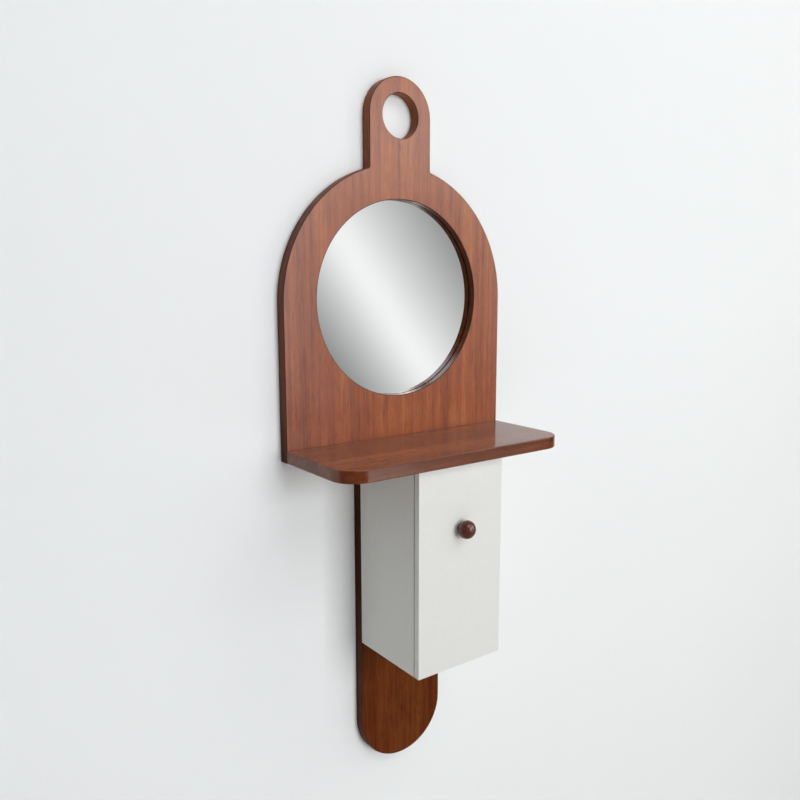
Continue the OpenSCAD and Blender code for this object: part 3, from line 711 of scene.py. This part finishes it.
# %% Shelf
SHELF_CORNER_R = 36.0
SHELF_ARRIS = 1.5
SHELF_EDGE_START = 0.7
shelf_outline = (
    [(shelf_high.x, shelf_high.y), (shelf_low.x, shelf_high.y)]
    + arc(shelf_low.x + SHELF_CORNER_R, shelf_low.y + SHELF_CORNER_R, SHELF_CORNER_R, 180, 270)
    + arc(shelf_high.x - SHELF_CORNER_R, shelf_low.y + SHELF_CORNER_R, SHELF_CORNER_R, 270, 360)
)
mesh = plate_mesh("shelf_plate", [shelf_outline], shelf_high.z - shelf_low.z, SHELF_ARRIS)
mesh.transform(Matrix.Translation((0, 0, (shelf_low.z + shelf_high.z) / 2 * MM)))
shelf = new_piece("shelf_board", mesh, "shelf", walnut_shelf)
shade_eased(shelf)
band_edges(shelf, 2, SHELF_EDGE_START, shelf_band)

# %% [markdown]
# ## The cabinet's panels and the door
# These are plain boards, so each is a cube that is stretched to its node's box, with its arrises
# rounded by a bevel. The lacquer fills the arris of a sprayed panel, so it is smaller than on the wood.

# %% Panels
PANEL_ARRIS = 0.5
ARRIS_STEPS = 3


def panel(name, node):
    """A lacquered board with eased arrises in the box of a CAD node."""
    low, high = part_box(node)
    work = bmesh.new()
    bmesh.ops.create_cube(work, size=1.0)
    bmesh.ops.scale(work, verts=work.verts, vec=high - low)
    bmesh.ops.translate(work, verts=work.verts, vec=(low + high) / 2)
    bmesh.ops.bevel(work, geom=work.edges[:], offset=PANEL_ARRIS * MM, segments=ARRIS_STEPS, profile=0.5,
                    affect="EDGES")
    mesh = bpy.data.meshes.new(name)
    work.to_mesh(mesh)
    work.free()
    shade_eased(new_piece(name, mesh, node, white_lacquer))


for name, node in (
    ("left_side_panel", "cabinet_left_side"),
    ("right_side_panel", "cabinet_right_side"),
    ("bottom_panel", "cabinet_bottom"),
    ("inner_shelf_panel", "inner_shelf"),
    ("door_panel", "door"),
):
    panel(name, node)

# %% [markdown]
# ## The knob
# A turned knob is a profile spun around its axis. Its profile is two quarter ovals that meet at the
# widest place, a thin neck and a small foot. We spin it about the door's normal with bmesh's spin.

# %% Profile of the knob
knob_low, knob_high = (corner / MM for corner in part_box("knob"))
KNOB_R = (knob_high.x - knob_low.x) / 2
KNOB_OUT = knob_high.y - knob_low.y
KNOB_Z = (knob_low.z + knob_high.z) / 2
KNOB_WIDEST = 12.0
KNOB_NECK_R = 6.0
KNOB_NECK_L = 1.0
KNOB_FOOT_R = 7.5
KNOB_FOOT_H = 2.5
PROFILE_STEPS = 20


def knob_profile():
    """Radius and distance from the door, from the tip to the foot."""
    quarter = [math.radians(90 * i / PROFILE_STEPS) for i in range(PROFILE_STEPS + 1)]
    front = [(KNOB_R * math.sin(a), KNOB_WIDEST + (KNOB_OUT - KNOB_WIDEST) * math.cos(a)) for a in quarter]
    rear_depth = KNOB_WIDEST - KNOB_FOOT_H - KNOB_NECK_L
    rear = [(KNOB_NECK_R + (KNOB_R - KNOB_NECK_R) * math.cos(a), KNOB_WIDEST - rear_depth * math.sin(a))
            for a in quarter[1:]]
    foot = [(KNOB_NECK_R, KNOB_FOOT_H), (KNOB_FOOT_R, 0.0), (0.0, 0.0)]
    return front + rear + foot


print("knob:", round(KNOB_R * 2, 1), "mm across and", round(KNOB_OUT, 1), "mm out")

# %% Spin the knob
TURN_STEPS = 96
KNOB_MERGE = 0.001
work = bmesh.new()
profile = [work.verts.new((r * MM, -out * MM, 0)) for r, out in knob_profile()]
edges = [work.edges.new(pair) for pair in zip(profile, profile[1:])]
bmesh.ops.spin(work, geom=profile + edges, cent=(0, 0, 0), axis=(0, 1, 0), angle=math.tau,
               steps=TURN_STEPS, use_merge=True)
bmesh.ops.remove_doubles(work, verts=work.verts, dist=KNOB_MERGE * MM)
bmesh.ops.dissolve_degenerate(work, edges=work.edges, dist=KNOB_MERGE * MM)
bmesh.ops.recalc_face_normals(work, faces=work.faces)
bmesh.ops.translate(work, verts=work.verts, vec=(0, knob_high.y * MM, KNOB_Z * MM))
mesh = bpy.data.meshes.new("turned_knob")
work.to_mesh(mesh)
work.free()
new_piece("turned_knob", mesh, "knob", walnut_turned)
mesh.shade_smooth()
mesh.set_sharp_from_angle(angle=math.radians(SHARP_ANGLE))

# %% [markdown]
# ## The wall and the floor
# They are the stage, not part of the object. The wall hides what is behind it, so a camera behind the
# wall would see nothing. Two things help: the wall has a hole just inside the board's outline, where the
# board covers it, and a camera that looks at the wall's back looks through it.

# %% The wall's paint
WALL_DRIFT = 700.0
plaster, tree, shader = new_material("wall_paint_matt", Roughness=0.9)
drift = soft_spots(tree, (WALL_DRIFT,) * 3, detail=1.0)
paint = add_node(tree, "Mix", {0: drift, 6: linear("eff0ed"), 7: linear("f1f2ef")}, data_type="RGBA")
feed(tree, shader.inputs["Base Color"], paint.outputs[2])
seen = add_node(tree, "LightPath").outputs["Is Camera Ray"]
backfacing = add_node(tree, "NewGeometry").outputs["Backfacing"]
from_behind = add_node(tree, "Math", {0: seen, 1: backfacing}, operation="MULTIPLY")
clear = add_node(tree, "BsdfTransparent")
one_way = add_node(tree, "MixShader", {0: from_behind, 1: shader, 2: clear})
feed(tree, tree.nodes["Material Output"].inputs["Surface"], one_way)

# %% Wall
WALL_GAP = 0.6
WALL_INSET = 4.0
WALL_HALF_W = 4000.0
WALL_TOP = 2600.0
FLOOR_Z = -1750.0


def shrink(points, inset):
    """The same closed outline, moved inwards by inset. Its points run anticlockwise."""
    result = []
    for before, here, after in zip(points[-1:] + points[:-1], points, points[1:] + points[:1]):
        along_x, along_y = after[0] - before[0], after[1] - before[1]
        length = math.hypot(along_x, along_y)
        result.append((here[0] - along_y / length * inset, here[1] + along_x / length * inset))
    return result


def stage_sheet(name, outlines, matrix, material):
    """A flat sheet with holes that belongs to the stage."""
    holder = filled_curve(name, outlines)
    mesh = bpy.data.meshes.new_from_object(holder)
    bpy.data.objects.remove(holder)
    mesh.materials.append(material)
    sheet = bpy.data.objects.new(name, mesh)
    sheet.matrix_world = matrix
    bpy.context.scene.collection.objects.link(sheet)
    print("stage:", name)
    return sheet


wall_edge = [(-WALL_HALF_W, FLOOR_Z), (WALL_HALF_W, FLOOR_Z),
             (WALL_HALF_W, WALL_TOP), (-WALL_HALF_W, WALL_TOP)]
stage_sheet("wall", [
    wall_edge,
    shrink(board_outline(), WALL_INSET),
    arc(0, TAB_Z, TAB_HOLE_R + WALL_INSET, 0, 360)[:-1],
], Matrix.Translation((0, WALL_GAP * MM, 0)) @ STAND_UP, plaster)

# %% [markdown]
# The floor is a pale screed, smoothed cement that drifts in tone over a hand's width. The mirror would
# show it, and the photograph's mirror doesn't, so reflections leave it out.

# %% Floor
FLOOR_DEPTH = 4000.0
screed = speckled("floor_pale_screed", "d9d8d4", "e0dfdc", size_mm=40, rough=0.7)
floor_edge = [(-WALL_HALF_W, -FLOOR_DEPTH), (WALL_HALF_W, -FLOOR_DEPTH),
              (WALL_HALF_W, 0), (-WALL_HALF_W, 0)]
floor = stage_sheet("floor", [floor_edge], Matrix.Translation((0, 0, FLOOR_Z * MM)), screed)
floor.visible_glossy = False

# %% [markdown]
# ## What the mirror shows
# The mirror needs something to show. In the photograph it shows a pale band that runs from the upper
# left to the lower right, and falls off to grey on both sides. So for glossy rays the world is a
# gradient: the distance of a ray's direction from one slanting line decides how bright it is.
# Behind the object the world is pale again, so that the metal on its back has something to show.
# For the camera the world is a plain pale backdrop, and for all other rays it gives a weak fill light.

# %% The band in the mirror
BAND_SIDE = 0.793
BAND_UP = 0.609
BAND_START = 0.52
BAND_BRIGHT = 1.036
BAND_DARKEST = 0.42
BAND_SOFT = 0.3
FADE_RIGHT = 2.5
FADE_LEFT = 3.9
LEAST_FORWARD = 0.05
REAR_BRIGHT = 0.8
REAR_FADE = 0.3

world = bpy.data.worlds.new("studio")
bpy.context.scene.world = world
world.use_nodes = True
tree = world.node_tree
ray = add_node(tree, "SeparateXYZ", {0: add_node(tree, "TexCoord").outputs["Generated"]})
ahead = add_node(tree, "Math", {0: ray.outputs["Y"], 1: -1.0}, operation="MULTIPLY")
ahead = add_node(tree, "Math", {0: ahead, 1: LEAST_FORWARD}, operation="MAXIMUM")
sideways = add_node(tree, "Math", {0: ray.outputs["X"], 1: ahead}, operation="DIVIDE")
upwards = add_node(tree, "Math", {0: ray.outputs["Z"], 1: ahead}, operation="DIVIDE")
offset = add_node(tree, "Math", {0: sideways, 1: BAND_SIDE, 2: -BAND_START}, operation="MULTIPLY_ADD")
offset = add_node(tree, "Math", {0: upwards, 1: BAND_UP, 2: offset}, operation="MULTIPLY_ADD")
fade_right = add_node(tree, "Math", {0: offset, 1: -FADE_RIGHT, 2: BAND_BRIGHT}, operation="MULTIPLY_ADD")
fade_left = add_node(tree, "Math", {0: offset, 1: FADE_LEFT, 2: BAND_BRIGHT}, operation="MULTIPLY_ADD")
band = add_node(tree, "Math", {0: fade_right, 1: fade_left, 2: BAND_SOFT}, operation="SMOOTH_MIN")
band = add_node(tree, "Math", {0: band, 1: BAND_DARKEST}, operation="MAXIMUM")
pale = add_node(tree, "MapRange", {"Value": ray.outputs["Y"], "From Max": REAR_FADE, "To Max": REAR_BRIGHT})
reflected = add_node(tree, "Math", {0: band, 1: pale}, operation="MAXIMUM")
print("band:", BAND_DARKEST, "to", BAND_BRIGHT, "as displayed")

# %% What each kind of ray sees
DISPLAY_GAMMA = 2.2
WORLD_FILL = 0.03
BACKDROP = 0.88
in_light = add_node(tree, "Math", {0: reflected, 1: DISPLAY_GAMMA}, operation="POWER")
path = add_node(tree, "LightPath")
strength = add_node(tree, "Mix", {0: path.outputs["Is Glossy Ray"], 2: WORLD_FILL, 3: in_light})
strength = add_node(tree, "Mix", {0: path.outputs["Is Camera Ray"], 2: strength, 3: BACKDROP})
background = tree.nodes["Background"]
background.inputs["Color"].default_value = linear("ffffff")
feed(tree, background.inputs["Strength"], strength)
print("world nodes:", len(tree.nodes))

# %% [markdown]
# ## Light
# A large softbox in front and another above give the even light and the soft shadows of a studio. The
# front one would show in the lacquer as a white square, so reflections leave it out. A tall, narrow
# window on the right and a small lamp above it put a highlight on the knob and the arrises.
# Lacquered wood shines only where it mirrors something bright. Four cards are there for that alone: they
# show in reflections and light nothing else. They stand just outside the directions that the mirror
# shows to the camera, which are 29 to 44 degrees to the right and 9 degrees down to 8 degrees up.
# The last lamp is behind the wall, for views from behind. The wall keeps it away from the front.

# %% Lamps
AIM = Vector((0.0, -0.1, -0.35))
COOL_WHITE = "f7f9ff"
WARM_WHITE = "fffefb"
CARD_WHITE = "fffefc"
REAR_WHITE = "fdfdff"


def soft_lamp(name, azimuth, elevation, distance, width, height, watts, colour):
    """A rectangular lamp seen from AIM at azimuth (to the right of the front) and elevation, in metres."""
    light = bpy.data.lights.new(name, "AREA")
    light.shape = "RECTANGLE"
    light.size, light.size_y = width, height
    light.energy = watts
    light.color = linear(colour)[:3]
    a, e = math.radians(azimuth), math.radians(elevation)
    way = Vector((math.sin(a) * math.cos(e), -math.cos(a) * math.cos(e), math.sin(e)))
    lamp = bpy.data.objects.new(name, light)
    lamp.location = AIM + way * distance
    lamp.rotation_euler = way.to_track_quat("Z", "Y").to_euler()
    lamp.visible_camera = False
    bpy.context.scene.collection.objects.link(lamp)
    print("lamp:", name, watts, "W")
    return lamp


# In each row: name, azimuth, elevation, distance, width, height, watts, colour
front = soft_lamp("front_softbox", 5, 8, 4.5, 2.2, 2.2, 126.0, COOL_WHITE)
front.visible_glossy = False
soft_lamp("top_softbox", 5, 45, 4.5, 2.2, 2.2, 50.0, COOL_WHITE)
soft_lamp("window", 55, 18, 4.0, 0.9, 3.2, 20.0, WARM_WHITE)
soft_lamp("window_top", 38, 45, 3.6, 0.6, 0.6, 8.0, WARM_WHITE)
for row in (
    ("sheen_card_top", 33, 17.5, 3.6, 3.0, 0.8, 33.0, CARD_WHITE),
    ("sheen_card_left", 20, 3, 3.6, 0.9, 1.5, 22.0, CARD_WHITE),
    ("sheen_card_right", 52, 5, 3.6, 0.9, 1.4, 7.0, CARD_WHITE),
    ("sheen_card_low", 30, -16.5, 3.7, 0.7, 0.35, 3.0, CARD_WHITE),
):
    card = soft_lamp(*row)
    card.visible_diffuse = False
rear = soft_lamp("behind_the_wall", 200, 20, 4.0, 2.5, 2.5, 120.0, REAR_WHITE)
rear.visible_glossy = False
